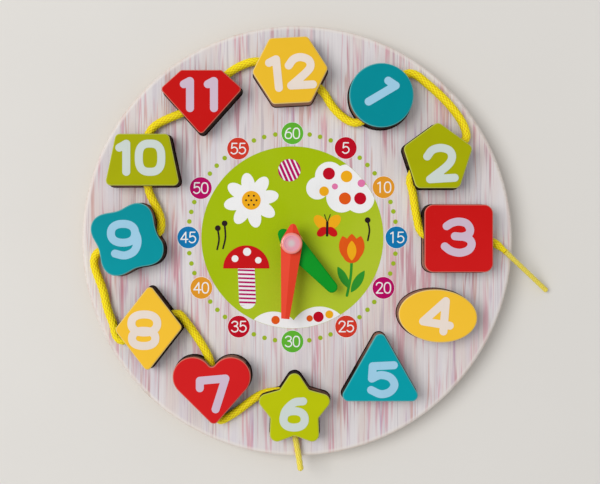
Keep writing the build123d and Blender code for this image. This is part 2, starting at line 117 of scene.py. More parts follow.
def vectorMaths(operation, first, second):
    node = addNode(first.id_data, "ShaderNodeVectorMath", operation=operation)
    feed(node.inputs[0], first)
    feed(node.inputs[1], second)
    return node.outputs["Value" if operation == "DISTANCE" else "Vector"]


def span(value, low, high, toLow=0.0, toHigh=1.0):
    # a soft step while the value goes from low to high
    limits = {"From Min": low, "From Max": high, "To Min": toLow, "To Max": toHigh}
    node = addNode(value.id_data, "ShaderNodeMapRange", {"Value": value, **limits},
                   interpolation_type="SMOOTHSTEP")
    return node.outputs["Result"]


def blendColour(factor, first, second):
    node = addNode(treeOf(factor, first, second), "ShaderNodeMix", data_type="RGBA")
    for index, value in ((0, factor), (6, first), (7, second)):
        feed(node.inputs[index], value)
    return node.outputs[2]


def objectPlace(tree):
    return addNode(tree, "ShaderNodeTexCoord").outputs["Object"]


def axesOf(vector):
    return addNode(vector.id_data, "ShaderNodeSeparateXYZ", {"Vector": vector}).outputs


def reachFrom(tree, x=0.0, y=0.0):
    # how far a point lies from the upright line through (x, y)
    flat = vectorMaths("MULTIPLY", objectPlace(tree), (1.0, 1.0, 0.0))
    return vectorMaths("DISTANCE", flat, (x, y, 0.0))


def noiseOf(vector, scale, detail, roughness, distortion=0.0):
    # three numbers as a scale stretch the pattern along the axes
    tree = vector.id_data
    if isinstance(scale, tuple):
        vector = addNode(tree, "ShaderNodeMapping", {"Vector": vector, "Scale": scale}).outputs["Vector"]
        scale = 1.0
    inputs = {"Vector": vector, "Scale": scale, "Detail": detail}
    inputs.update({"Roughness": roughness, "Distortion": distortion})
    return addNode(tree, "ShaderNodeTexNoise", inputs).outputs["Fac"]


def newGroup(name, inputs, outputs):
    # a tuple makes a colour inlet, and the outlet called Color is a colour too
    tree = bpy.data.node_groups.new(name, "ShaderNodeTree")
    kinds = {True: "NodeSocketColor", False: "NodeSocketFloat"}
    for label, value in inputs.items():
        kind = kinds[isinstance(value, tuple)]
        tree.interface.new_socket(name=label, in_out="INPUT", socket_type=kind).default_value = value
    for label in outputs:
        tree.interface.new_socket(name=label, in_out="OUTPUT", socket_type=kinds[label == "Color"])
    return tree, tree.nodes.new("NodeGroupInput").outputs, tree.nodes.new("NodeGroupOutput").inputs


def makeFaces():
    # which way a surface looks, in the object's own directions
    tree, _, out = newGroup("faceDirection", {}, ("Top", "Rim", "Under"))
    up = axesOf(addNode(tree, "ShaderNodeTexCoord").outputs["Normal"])["Z"]
    top = span(up, 0.80, 0.93)
    feed(out["Top"], top)
    feed(out["Rim"], minus(span(up, 0.25, 0.45), top, clamp=True))
    feed(out["Under"], span(up, -0.5, -0.8))
    return tree


def makeStreaks():
    # long thin lines along Y; Seed moves them, Width sets how wide and far apart they are
    tree, into, out = newGroup("paleStreaks", {"Width": 1.0, "Seed": 0.0, "Amount": 0.5}, ("Mask",))
    wide = addNode(tree, "ShaderNodeCombineXYZ", {"X": into["Width"], "Y": 1.0, "Z": 1.0})
    moved = vectorMaths("ADD", objectPlace(tree), into["Seed"])
    place = vectorMaths("DIVIDE", moved, wide.outputs[0])
    lines = noiseOf(place, (230.0, 6.5, 0.0), 2.6, 0.5, 0.1)
    ridge = maths("ABSOLUTE", minus(lines, 0.5))
    places = noiseOf(place, (140.0, 15.0, 0.0), 2.0, 0.55)
    cut = minus(0.72, times(into["Amount"], 0.4))
    over = times(minus(places, cut), 11.0, clamp=True)
    feed(out["Mask"], times(span(ridge, 0.036, 0.006), over))
    return tree


plyThickness = 0.0026


def makeWood():
    # bare board: fine fibres, soft blotches and thin layers seen at the edge
    tree, into, out = newGroup(
        "bareWood", {"Light": linear(214, 190, 158), "Dark": linear(170, 138, 104), "Layers": 0.0},
        ("Color", "Height"))
    place = objectPlace(tree)
    fibres = noiseOf(place, (60.0, 900.0, 900.0), 4.0, 0.65, 0.3)
    blotch = noiseOf(place, 55.0, 3.0, 0.55)
    depth = times(axesOf(place)["Z"], 2 * math.pi / plyThickness)
    layer = span(maths("SINE", depth), -0.2, 0.5)
    layered = times(layer, times(into["Layers"], 0.5))
    grain = plus(times(fibres, 0.65), times(blotch, 0.35))
    mixed = plus(span(grain, 0.36, 0.66), layered, clamp=True)
    feed(out["Color"], blendColour(mixed, into["Light"], into["Dark"]))
    feed(out["Height"], fibres)
    return tree


def makeScorch():
    # sides cut by heat: dark brown, uneven, in places only tanned
    tree, into, out = newGroup(
        "scorchedEdge", {"Dark": linear(52, 32, 24), "Pale": linear(140, 104, 80),
                         "Bare": linear(178, 134, 116), "Tan": 0.0},
        ("Color", "Height"))
    place = objectPlace(tree)
    lines = noiseOf(place, (420.0, 420.0, 40.0), 3.0, 0.6)
    clouds = noiseOf(place, 130.0, 3.0, 0.6)
    stretches = noiseOf(place, 22.0, 1.0, 0.4)
    both = plus(times(lines, 0.5), times(clouds, 0.5))
    burnt = blendColour(span(both, 0.42, 0.68), into["Dark"], into["Pale"])
    light = plus(stretches, times(clouds, 0.2))
    light = span(plus(light, times(into["Tan"], 0.16)), 0.66, 0.78, 0.0, 0.8)
    feed(out["Color"], blendColour(light, burnt, into["Bare"]))
    feed(out["Height"], lines)
    return tree


def makeRub():
    # faint handling marks: small scratches and a few specks
    tree, into, out = newGroup("handling", {"Scale": 1.0}, ("Marks", "Cloud"))
    place = vectorMaths("MULTIPLY", objectPlace(tree), into["Scale"])
    fine = noiseOf(place, (260.0, 1900.0, 500.0), 4.0, 0.7, 0.6)
    specks = addNode(tree, "ShaderNodeTexVoronoi", {"Vector": place, "Scale": 260.0, "Randomness": 1.0})
    speck = span(specks.outputs["Distance"], 0.10, 0.02)
    feed(out["Marks"], maths("MAXIMUM", span(fine, 0.62, 0.74), speck))
    feed(out["Cloud"], noiseOf(place, 90.0, 3.0, 0.5))
    return tree


groups = {
    "faces": makeFaces(),
    "streaks": makeStreaks(),
    "wood": makeWood(),
    "scorch": makeScorch(),
    "handling": makeRub(),
}


def useGroup(tree, name, **values):
    inputs = {label.capitalize(): value for label, value in values.items()}
    return addNode(tree, "ShaderNodeGroup", inputs, node_tree=groups[name]).outputs


def newMaterial(name, constants):
    material = bpy.data.materials.new(name)
    material.use_nodes = True
    tree = material.node_tree
    shader = tree.nodes["Principled BSDF"]
    for label, value in constants.items():
        feed(shader.inputs[label], value)
    return material, tree, shader


def dress(shader, colour, roughness, height=None, strength=0.0, distance=0.0):
    # strength and distance are those of the bump that the height gives
    feed(shader.inputs["Base Color"], colour)
    feed(shader.inputs["Roughness"], roughness)
    if height is not None:
        inputs = {"Strength": strength, "Distance": distance, "Height": height}
        bump = addNode(shader.id_data, "ShaderNodeBump", inputs)
        feed(shader.inputs["Normal"], bump.outputs["Normal"])


print("node groups ready:", len(groups))


# materials
blockPaints = {
    # flat paint, the lighter paint of the lower blocks as painted light, the lighter edge for wear marks and
    # the painted rim highlight, and the number's print
    "yellow_paint": ((236, 188, 44), (246, 194, 54), (244, 216, 140), (234, 220, 208)),
    "teal_paint": ((0, 137, 148), (2, 156, 167), (96, 190, 192), (158, 204, 228)),
    "green_paint": ((164, 167, 2), (186, 194, 6), (206, 212, 96), (204, 214, 208)),
    "red_paint": ((196, 16, 14), (210, 30, 32), (232, 128, 112), (208, 186, 204)),
}
blockFinish = {
    "roughness": 0.5,
    "sideRoughness": 0.28,  # how much rougher the cut sides are
    "gloss": 0.05,
    "rimHighlight": 0.8,
    "scorchDark": linear(40, 28, 24),
    "scorchPale": linear(74, 50, 40),
    "bareWood": linear(196, 164, 128),
    "tanned": ((-0.0033, 0.0833), (-0.0417, -0.0730), (-0.0830, 0.0006)),
    "tannedReach": 0.021,
    "paintFrom": 0.0222,
}


def tannedPlaces(tree):
    # the blocks whose sides were burnt least
    total = 0.0
    for x, y in blockFinish["tanned"]:
        near = maths("LESS_THAN", reachFrom(tree, x, y), blockFinish["tannedReach"])
        total = plus(near, total, clamp=True)
    return total


def blockMaterial(slot):
    paint, litLowerPaint, edge, _ = (linear(*colour) for colour in blockPaints[slot])
    material, tree, shader = newMaterial(slot, {"Specular IOR Level": blockFinish["gloss"]})
    faces = useGroup(tree, "faces")
    marks = useGroup(tree, "handling")
    wood = useGroup(tree, "wood", light=blockFinish["bareWood"])
    scorch = useGroup(tree, "scorch", dark=blockFinish["scorchDark"], pale=blockFinish["scorchPale"],
                      tan=tannedPlaces(tree))
    place = axesOf(objectPlace(tree))
    # painted light: the paint grows lighter towards the lower blocks, with a little random tone from the
    # cloud on top
    low = span(place["Y"], 0.05, -0.07, 0.0, 0.9)
    low = plus(low, span(marks["Cloud"], 0.3, 0.7, 0.0, 0.1))
    toned = blendColour(low, paint, litLowerPaint)
    worn = blendColour(times(marks["Marks"], 0.05), toned, edge)
    # paint and its pale edge lie only on the top, not in the lace hole
    high = maths("GREATER_THAN", place["Z"], blockFinish["paintFrom"])
    top = times(faces["Top"], high)
    notTop = minus(1.0, top)
    # painted highlight: the rounded rim of the top gets a lighter paint
    rim = tuple(one + (other - one) * blockFinish["rimHighlight"] for one, other in zip(paint, edge))
    sides = blendColour(times(faces["Rim"], high), scorch["Color"], rim)
    sides = blendColour(faces["Under"], sides, wood["Color"])
    rough = plus(blockFinish["roughness"], times(marks["Marks"], 0.15))
    rough = plus(rough, times(notTop, blockFinish["sideRoughness"]))
    height = plus(times(marks["Cloud"], 0.3), times(scorch["Height"], notTop))
    dress(shader, blendColour(top, sides, worn), rough, height, 0.35, 0.00012)
    return material


facePrint = {
    "ground": linear(224, 219, 220),
    "warmGround": linear(220, 206, 201),
    "lilacGround": linear(211, 203, 214),
    "greyLine": linear(178, 166, 174),
    "pinkLine": linear(212, 152, 164),
    "roseLine": linear(190, 124, 138),
    "lilacLine": linear(182, 146, 178),
    "rustLine": linear(200, 146, 136),
    "streaks": (
        # colour, width, seed, how many and how strong
        ("greyLine", 0.7, 0.0, 0.56, 0.6), ("lilacLine", 1.0, 0.37, 0.44, 0.65),
        ("rustLine", 0.9, 0.71, 0.50, 0.7), ("pinkLine", 1.6, 1.13, 0.48, 0.7),
        ("pinkLine", 0.9, 1.71, 0.56, 0.75), ("roseLine", 1.1, 2.31, 0.50, 0.75),
    ),
    "edge": linear(232, 224, 216),
    "edgeGrain": linear(206, 186, 164),
    "recessDark": linear(58, 38, 30),
    "recessPale": linear(132, 100, 82),
    "rimRadius": 0.1048,
    "rimWidth": 0.0012,
    "rimPaleAndHighlight": 0.55,
    "gloss": 0.2,
}


def faceMaterial():
    material, tree, shader = newMaterial("whitewashed_face", {"Specular IOR Level": facePrint["gloss"]})
    faces = useGroup(tree, "faces")
    place = objectPlace(tree)
    warm = span(noiseOf(place, (75.0, 13.0, 1.0), 2.0, 0.5), 0.45, 0.66, 0.0, 0.8)
    cool = span(noiseOf(place, (150.0, 11.0, 3.0), 2.0, 0.5), 0.5, 0.66, 0.0, 0.45)
    fine = noiseOf(place, (1100.0, 20.0, 1.0), 3.0, 0.6)
    colour = blendColour(warm, facePrint["ground"], facePrint["warmGround"])
    colour = blendColour(cool, colour, facePrint["lilacGround"])
    for name, width, seed, amount, strength in facePrint["streaks"]:
        mask = useGroup(tree, "streaks", width=width, seed=seed, amount=amount)["Mask"]
        colour = blendColour(times(mask, strength), colour, facePrint[name])
    colour = blendColour(span(fine, 0.45, 0.75, 0.0, 0.3), colour, facePrint["greyLine"])
    rimRadius = facePrint["rimRadius"]
    outer = span(reachFrom(tree), rimRadius, rimRadius + facePrint["rimWidth"])
    scorch = useGroup(tree, "scorch", dark=facePrint["recessDark"], pale=facePrint["recessPale"])
    wood = useGroup(tree, "wood", light=facePrint["edge"], dark=facePrint["edgeGrain"], layers=0.4)
    side = blendColour(outer, scorch["Color"], wood["Color"])
    # the outer band past the print and the rounded rim are paler: the unprinted edge, with a painted
    # highlight on the rim
    top = blendColour(times(outer, facePrint["rimPaleAndHighlight"]), colour, facePrint["edge"])
    rim = blendColour(times(faces["Rim"], facePrint["rimPaleAndHighlight"]), side, top)
    dress(shader, blendColour(faces["Top"], rim, top), span(fine, 0.3, 0.7, 0.4, 0.52),
          plus(fine, scorch["Height"]), 0.22, 0.0001)
    return material


def boardMaterial():
    # the lower board: bare at its edge, under side and recess floors
    material, tree, shader = newMaterial("board_underside", {})
    wood = useGroup(tree, "wood", light=linear(222, 204, 180), dark=linear(184, 156, 124), layers=0.7)
    marks = useGroup(tree, "handling", scale=0.5)
    colour = blendColour(times(marks["Marks"], 0.16), wood["Color"], linear(150, 126, 102))
    rough = span(marks["Cloud"], 0.3, 0.7, 0.55, 0.72)
    dress(shader, colour, rough, wood["Height"], 0.4, 0.00015)
    return material


plastics = {
    # colour, shade, roughness, gloss, depth of the grain and size of the marks
    "gear_cover": ((222, 219, 212), (204, 200, 190), 0.5, 0.4, 0.25, 1.0),
    "white_gear": ((238, 236, 228), (222, 218, 204), 0.42, 0.4, 0.25, 1.0),
    "red_plastic": ((228, 66, 40), (216, 52, 34), 0.45, 0.1, 0.08, 0.6),
    "green_plastic": ((0, 150, 34), (0, 124, 30), 0.42, 0.1, 0.08, 0.6),
}


def plasticMaterial(slot):
    colour, shade, roughness, gloss, grain, size = plastics[slot]
    material, tree, shader = newMaterial(slot, {"Specular IOR Level": gloss, "IOR": 1.48})
    marks = useGroup(tree, "handling", scale=size)
    toned = times(span(marks["Cloud"], 0.3, 0.75), 0.35)
    mix = plus(toned, times(marks["Marks"], 0.25), clamp=True)
    dress(shader, blendColour(mix, linear(*colour), linear(*shade)),
          plus(roughness, times(marks["Marks"], 0.18)), marks["Cloud"], grain, 0.00006)
    return material


metals = {
    # colour, shade and roughness
    "zinc_screws": ((196, 198, 202), (158, 160, 166), 0.34),
    "brass": ((212, 176, 96), (176, 138, 62), 0.3),
    "steel_stud": ((180, 182, 186), (140, 142, 148), 0.3),
}


def metalMaterial(slot):
    colour, shade, roughness = metals[slot]
    material, tree, shader = newMaterial(slot, {"Metallic": 1.0})
    brushed = noiseOf(objectPlace(tree), (2400.0, 2400.0, 240.0), 4.0, 0.65)
    dress(shader, blendColour(span(brushed, 0.35, 0.7), linear(*colour), linear(*shade)),
          span(brushed, 0.3, 0.7, roughness - 0.08, roughness + 0.12), brushed, 0.2, 0.00005)
    return material


capLook = {
    "x": -0.0026,
    "y": -0.0013,
    "centre": linear(206, 188, 190),
    "dish": linear(226, 152, 168),
    # painted highlight on the cap's rounded rim
    "rim": linear(240, 138, 130),
    "wobble": 0.0016,
}


def capMaterial():
    coat = {"Coat Weight": 0.5, "Coat Roughness": 0.08, "IOR": 1.5}
    material, tree, shader = newMaterial("pearl_cap", coat)
    reach = reachFrom(tree, capLook["x"], capLook["y"])
    cloud = useGroup(tree, "handling", scale=1.6)["Cloud"]
    wobble = plus(reach, times(minus(cloud, 0.5), capLook["wobble"]))
    colour = blendColour(span(wobble, 0.0008, 0.0026), capLook["centre"], capLook["dish"])
    # painted highlight: a bright ring round the cap's rounded rim
    colour = blendColour(span(reach, 0.0036, 0.0044), colour, capLook["rim"])
    dress(shader, colour, span(cloud, 0.3, 0.7, 0.2, 0.34))
    return material


laceLooks = {
    # the tops of the braid lit by painted light, its grooves in painted shade, roughness, sheen and coat
    "yellow_lace": ((255, 236, 4), (214, 162, 0), 0.62, 0.1, 0.0),
    "lace_tip": ((246, 228, 84), (214, 180, 20), 0.34, 0.0, 0.6),
}


def laceMaterial(slot):
    bright, grooveShade, roughness, sheen, coat = laceLooks[slot]
    material, tree, shader = newMaterial(slot, {
        "Sheen Weight": sheen, "Sheen Roughness": 0.4, "Coat Weight": coat, "Coat Roughness": 0.15,
        "Specular IOR Level": 0.2})
    braid = addNode(tree, "ShaderNodeAttribute", attribute_name="braidRise")
    fibre = noiseOf(objectPlace(tree), 2600.0, 2.0, 0.6)
    # painted shade in the braid's grooves and painted light on its cushion tops, set by the braid's rise
    colour = blendColour(span(braid.outputs["Fac"], 0.08, 0.75), linear(*grooveShade), linear(*bright))
    # pale fibre speckles, also standing as painted highlights of the braid's glints
    colour = blendColour(span(fibre, 0.5, 0.72, 0.0, 0.35), colour, linear(255, 246, 96))
    rough = span(fibre, 0.3, 0.7, roughness - 0.1, roughness + 0.1)
    dress(shader, colour, rough, fibre, 0.35, 0.00008)
    return material


inkShade = 0.86


def printMaterial(name, colour, shade=None):
    # thin ink on wood: even, with a hint of the fibres under it; a shade of its own, when given, grows to the
    # lower right as painted light
    material, tree, shader = newMaterial(name, {"Specular IOR Level": 0.05})
    place = objectPlace(tree)
    fibre = noiseOf(place, (900.0, 60.0, 1.0), 3.0, 0.6)
    cloud = noiseOf(place, 60.0, 2.0, 0.5)
    mix = plus(span(fibre, 0.5, 0.8, 0.0, 0.25), span(cloud, 0.4, 0.7, 0.0, 0.3))
    if shade:
        parts = axesOf(place)
        # painted light: the given colour takes over towards the lower right
        across = span(minus(parts["X"], parts["Y"]), -0.03, 0.06, 0.0, 0.8)
        mix = plus(times(mix, 0.3), across, clamp=True)
    dress(shader, blendColour(mix, colour, shade or dimmed(colour, inkShade)),
          span(fibre, 0.3, 0.7, 0.38, 0.5), fibre, 0.1, 0.00005)
    return material


slotMaterials = {
    "whitewashed_face": faceMaterial(),
    "board_underside": boardMaterial(),
    "pearl_cap": capMaterial(),
}
for looks, make in ((blockPaints, blockMaterial), (plastics, plasticMaterial), (metals, metalMaterial),
                    (laceLooks, laceMaterial)):
    slotMaterials.update({slot: make(slot) for slot in looks})
numberPrints = {slot: printMaterial(slot + "_number", linear(*paints[3]))
                for slot, paints in blockPaints.items()}

slotOf = {row["node"]: row["material_slot"] for row in frame["record"]["subparts"]}
for name, slot in slotOf.items():
    nodes[name].data.materials.clear()
    nodes[name].data.materials.append(slotMaterials[slot])
print("materials ready:", len(slotMaterials))


# camera and light
stand = {
    "cameraAt": (0.0015, -0.00065, 0.533),
    "lens": 62.56,
    "sensor": 36.0,
    "floorSize": 3.0,
    "floorDrop": 0.00002,
    "floorShade": 0.965,
    "floorColour": linear(224, 221, 216),
    "lampAt": (-1.6, 0.41, 2.6),
    "lampSize": 1.9,
    "lampPower": 53.0,
    "warmLight": (1.0, 0.985, 0.96),
    "skyLight": (0.97, 0.98, 1.0, 1.0),
    "worldLight": 0.55,
    "worldSeen": 0.74,
}


def putInScene(name, data):
    thing = bpy.data.objects.new(name, data)
    bpy.context.collection.objects.link(thing)
    return thing


cameraData = bpy.data.cameras.new("camera")
cameraData.lens = stand["lens"]
cameraData.sensor_width = stand["sensor"]
camera = putInScene("camera", cameraData)
camera.location = stand["cameraAt"]
bpy.context.scene.camera = camera

lampData = bpy.data.lights.new("softLamp", "AREA")
lampData.shape = "DISK"
lampData.size = stand["lampSize"]
lampData.energy = stand["lampPower"]
lampData.color = stand["warmLight"]
lamp = putInScene("softLamp", lampData)
lamp.location = stand["lampAt"]
toOrigin = -Vector(stand["lampAt"])
lamp.rotation_euler = toOrigin.to_track_quat("-Z", "Y").to_euler()

floorMaterial, floorTree, floorShader = newMaterial("tableTop", {})
floorCloud = noiseOf(objectPlace(floorTree), 9.0, 2.0, 0.5)
paler = dimmed(stand["floorColour"], stand["floorShade"])
dress(floorShader, blendColour(floorCloud, stand["floorColour"], paler),
      span(floorCloud, 0.3, 0.7, 0.7, 0.8))
floorMesh = bpy.data.meshes.new("tableTop")
edge = stand["floorSize"]
corners = [(-edge, -edge, 0), (edge, -edge, 0), (edge, edge, 0), (-edge, edge, 0)]
floorMesh.from_pydata(corners, [], [(0, 1, 2, 3)])
floorMesh.materials.append(floorMaterial)
floor = putInScene("tableTop", floorMesh)
floor.location.z = -stand["floorDrop"]

world = bpy.data.worlds.new("studio")
bpy.context.scene.world = world
world.use_nodes = True
sky = world.node_tree
sky.nodes.clear()
soft = addNode(sky, "ShaderNodeBackground", {"Color": stand["skyLight"], "Strength": stand["worldLight"]})
warm = (*stand["warmLight"], 1.0)
seen = addNode(sky, "ShaderNodeBackground", {"Color": warm, "Strength": stand["worldSeen"]})
rays = addNode(sky, "ShaderNodeLightPath").outputs
direct = maths("MAXIMUM", rays["Is Camera Ray"], rays["Is Glossy Ray"])
direct = maths("MAXIMUM", direct, rays["Is Transmission Ray"])
chosen = addNode(sky, "ShaderNodeMixShader")
for inlet, outlet in zip(chosen.inputs, (direct, soft.outputs[0], seen.outputs[0])):
    feed(inlet, outlet)
addNode(sky, "ShaderNodeOutputWorld", {"Surface": chosen.outputs[0]})
bpy.context.scene.view_settings.view_transform = "Standard"
print("camera and light ready")


# lace
laceShape = {
    "radius": 0.00205,
    "diamonds": 8,
    "pitch": 0.0026,
    "relief": 0.0005,
    "evenRise": 0.7,  # the height on a cushion at which the lace has its plain radius
    "ringPoints": 30,
    "step": 0.00032,
    "endReach": 0.006,  # the way from the cut end to the full width
    "endWidth": 0.62,
    "endRelief": 0.5,
    "reliefReach": 0.01,
    "blockReach": 0.03,  # a block's own holes lie within this much lace from its middle
    "tuckedSteps": 8,  # how far inside a block one stretch ends and the next begins
}
tipShape = {
    "rightRadius": 0.00125,
    "bottomRadius": 0.0015,
    "relief": 0.0002,
    "step": 0.0003,
    "roundedEnd": 0.0011,
    "smallestEnd": 0.12,
    "rootSwell": 0.00022,
    "rootReach": 0.003,
    "waveHeight": 0.00006,
    "waveTurn": 2100,
}
laced = (3, 2, 1, 12, 11, 10, 9, 8, 7, 6)
lacePoints = [
    # in millimetres along the lace
    # from its right-hand end through block 3
    (103, -5.2, 16.6), (98.3, -0.9, 16.7), (91.5, 0.7, 16.6), (80, 1, 16.5),
    (69, 1.6, 16.7), (62.9, 2.6, 16.5),
    # across to block 2
    (60.4, 6.1, 16.2), (59.8, 9.9, 15.7), (58.5, 16.7, 15.4), (57.3, 25, 15.5),
    (55.7, 29.6, 15.9), (57.2, 34.4, 16.5), (63.6, 38.2, 16.6), (72.6, 42.6, 16.5),
    (80, 46.8, 16.7),
    # round to block 1
    (84.3, 50.5, 16.2), (83.5, 55.6, 15.7), (80.8, 60.9, 15.4), (76.3, 66.8, 15.5),
    (70.3, 73, 15.4), (64.2, 78.2, 15.6), (59.5, 82.1, 16), (55, 83.3, 16.4),
    (50.2, 80.2, 16.6), (44.8, 73.9, 16.5), (38.8, 66, 16.7), (33.8, 60.2, 16.5),
    # up to block 12
    (29.4, 58, 16.2), (25.2, 59.5, 15.7), (20.7, 62.9, 15.4), (16.6, 67.7, 15.5),
    (13.5, 73.4, 16), (8.2, 78.1, 16.5), (-3.3, 83.4, 16.7), (-15, 88.4, 16.5),
    # down to block 11
    (-21.6, 89, 16.1), (-27.5, 87.1, 15.6), (-33.4, 83.6, 16), (-38.4, 78.2, 16.5),
    (-46.9, 71.3, 16.7), (-55.4, 63.8, 16.5),
    # round to block 10
    (-61.7, 61.5, 16), (-67.4, 59, 15.5), (-71.8, 56, 16), (-74.5, 50.8, 16.5),
    (-74.2, 39.6, 16.7), (-74.1, 29.2, 16.5),
    # down to block 9
    (-73.4, 24, 16), (-71.2, 19.4, 15.5), (-68.8, 14.6, 15.4), (-67.4, 10.6, 15.7),
    (-67.2, 7.1, 16.1), (-68.3, 3.7, 16.4), (-73, 2.2, 16.6), (-79.6, 0.4, 16.5),
    (-88.5, -2.2, 16.7), (-95.4, -4.2, 16.5),
    # down the left side to block 8
    (-99.6, -6.2, 16.2), (-101, -10.8, 15.7), (-99.2, -16.8, 15.4), (-95.9, -25, 15.5),
    (-94.2, -34, 15.4), (-90.9, -41.6, 15.6), (-90.1, -46.8, 16), (-86.9, -50.1, 16.4),
    (-81.6, -47.8, 16.6), (-72.5, -42.2, 16.5), (-64, -37.3, 16.7),
    # down to block 7
    (-58.6, -35.6, 16.3), (-55.7, -39.4, 15.8), (-50.8, -46, 15.4), (-45.8, -53.6, 15.6),
    (-42.4, -60.4, 16.2), (-40.8, -71.4, 16.6), (-39.4, -81, 16.5),
    # round the point of block 7 and over to block 6
    (-39.6, -86.8, 16.4), (-38.2, -89.3, 16.2), (-34.9, -87.8, 16), (-29.4, -84.4, 15.8),
    (-24.2, -80.4, 15.6), (-19.5, -77, 15.5), (-14.8, -75.2, 15.6), (-10.5, -74.7, 15.9),
    (-7.8, -74.7, 16.2), (-6.5, -76.8, 16.5), (-5.7, -79, 16.6), (-4.4, -83.2, 16.5),
]
rightTipPoints = [(103, -5.2, 16.6), (115, -15.3, 9.3), (127.5, -25.8, 1.5)]
bottomTipPoints = [(-4.4, -83.2, 16.5), (-0.6, -95.6, 16.1), (1.9, -114.6, 14.6)]


def smoothRoute(name, points):
    # a soft curve through given points in millimetres, given back in metres
    curve = bpy.data.curves.new(name, "CURVE")
    curve.dimensions = "3D"
    spline = curve.splines.new("NURBS")
    spline.points.add(len(points) - 1)
    for control, point in zip(spline.points, points):
        control.co = (*(value * mm for value in point), 1.0)
    spline.order_u = 3
    spline.use_endpoint_u = True
    spline.resolution_u = 24
    holder = bpy.data.objects.new(name, curve)
    mesh = bpy.data.meshes.new_from_object(holder)
    line = np.array([vertex.co[:] for vertex in mesh.vertices])
    bpy.data.objects.remove(holder)
    bpy.data.curves.remove(curve)
    bpy.data.meshes.remove(mesh)
    return line


def stepsOf(line):
    return np.linalg.norm(np.diff(line, axis=0), axis=1)


class Route:
    # a smooth line read at even steps, with a side direction carried along it
    def __init__(self, name, points, step):
        line = smoothRoute(name, points)
        line = line[np.insert(stepsOf(line) > 1e-7, 0, True)]  # doubled points are left out
        along = np.insert(np.cumsum(stepsOf(line)), 0, 0.0)
        self.length = along[-1]
        self.at = np.linspace(0, self.length, int(self.length / step) + 1)
        self.line = np.stack([np.interp(self.at, along, line[:, axis]) for axis in range(3)], axis=1)
        ahead = np.gradient(self.line, axis=0)
        self.ahead = ahead / np.linalg.norm(ahead, axis=1)[:, None]
        side = np.cross(self.ahead[0], (0, 0, 1))
        sides = []
        for direction in self.ahead:
            side = side - direction * side.dot(direction)
            side = side / np.linalg.norm(side)
            sides.append(side)
        self.side = np.array(sides)
        self.up = np.cross(self.ahead, self.side)

    def nearest(self, point):
        return int(np.argmin(np.linalg.norm(self.line[:, :2] - np.array(point[:2]), axis=1)))


def makeObject(name, points, faces, material, smooth=False, body=None, slot=None):
    mesh = bpy.data.meshes.new(name)
    mesh.from_pydata([tuple(point) for point in points], [], faces)
    mesh.materials.append(material)
    mesh.update()
    mesh.polygons.foreach_set("use_smooth", [smooth] * len(mesh.polygons))
    thing = putInScene(name, mesh)
    if body:
        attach(thing, body)
    return thing


def braidedTube(name, route, first, last, radiusAt, reliefAt, material):
    # rings of points from station first to last; the relief is a lattice of small cushions
    count = laceShape["ringPoints"]
    turn = np.arange(count) * 2 * math.pi / count
    points, rises = [], []
    for station in range(first, last + 1):
        here = route.at[station]
        radius, relief = radiusAt(here), reliefAt(here)
        climb = math.pi * here / laceShape["pitch"]
        one = np.abs(np.sin(laceShape["diamonds"] / 2 * turn + climb))
        other = np.abs(np.sin(laceShape["diamonds"] / 2 * turn - climb))
        rise = np.sqrt(one * other)
        reach = radius + relief * (rise - laceShape["evenRise"])
        sideways = (np.cos(turn) * reach)[:, None] * route.side[station]
        upwards = (np.sin(turn) * reach)[:, None] * route.up[station]
        points.extend(route.line[station] + (sideways + upwards))
        rises.extend(rise)
    lastRing = (last - first) * count
    faces = []
    for ring in range(0, lastRing, count):
        for spot in range(count):
            beside = (spot + 1) % count
            faces.append((ring + spot, ring + beside, ring + count + beside, ring + count + spot))
    faces.append(tuple(reversed(range(count))))
    faces.append(tuple(range(lastRing, lastRing + count)))
    tube = makeObject(name, points, faces, material, smooth=True)
    mesh = tube.data
    for cap in mesh.polygons[-2:]:
        cap.use_smooth = False
    capEdges = {key for cap in mesh.polygons[-2:] for key in cap.edge_keys}
    sharp = mesh.attributes.new("sharp_edge", "BOOLEAN", "EDGE")
    sharp.data.foreach_set("value", [tuple(sorted(edge.vertices)) in capEdges for edge in mesh.edges])
    attribute = mesh.attributes.new("braidRise", "FLOAT", "POINT")
    attribute.data.foreach_set("value", np.array(rises, np.float32))
    return tube


def centreOf(number):
    low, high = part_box(f"number_block_{number}")
    return (low + high) / 2


wellAbove = 0.05  # a height over all the blocks


def overBlock(number, point):
    return nodes[f"number_block_{number}"].ray_cast((point[0], point[1], wellAbove), (0, 0, -1))[0]


lace = Route("laceRoute", lacePoints, laceShape["step"])
middles = [lace.nearest(centreOf(number)) for number in laced]
laceEnd = len(lace.at) - 1
middles[-1] = laceEnd
betweens = [(one + other) // 2 for one, other in zip(middles, middles[1:])]


def laceRadius(here):
    # the cut end by block 3 draws in towards its stiff tip
    near = min(1.0, here / laceShape["endReach"])
    narrow = laceShape["endWidth"]
    return laceShape["radius"] * (narrow + (1 - narrow) * near * near * (3 - 2 * near))


def laceRelief(here):
    return laceShape["relief"] * min(1.0, laceShape["endRelief"] + here / laceShape["reliefReach"])


laceParts = []


def addStretch(name, number, first, last, away, mouth):
    # one stretch of lace: the first rides on its block, the others stay where they lie
    part = braidedTube(name, lace, first, last, laceRadius, laceRelief, slotMaterials["yellow_lace"])
    if away is None:
        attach(part, f"block_{number}")
    else:
        tuple(lace.line[away])
        tuple(lace.line[mouth])
        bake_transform(part)
    laceParts.append({"part": part, "first": first, "last": last, "mouth": mouth})
    return part


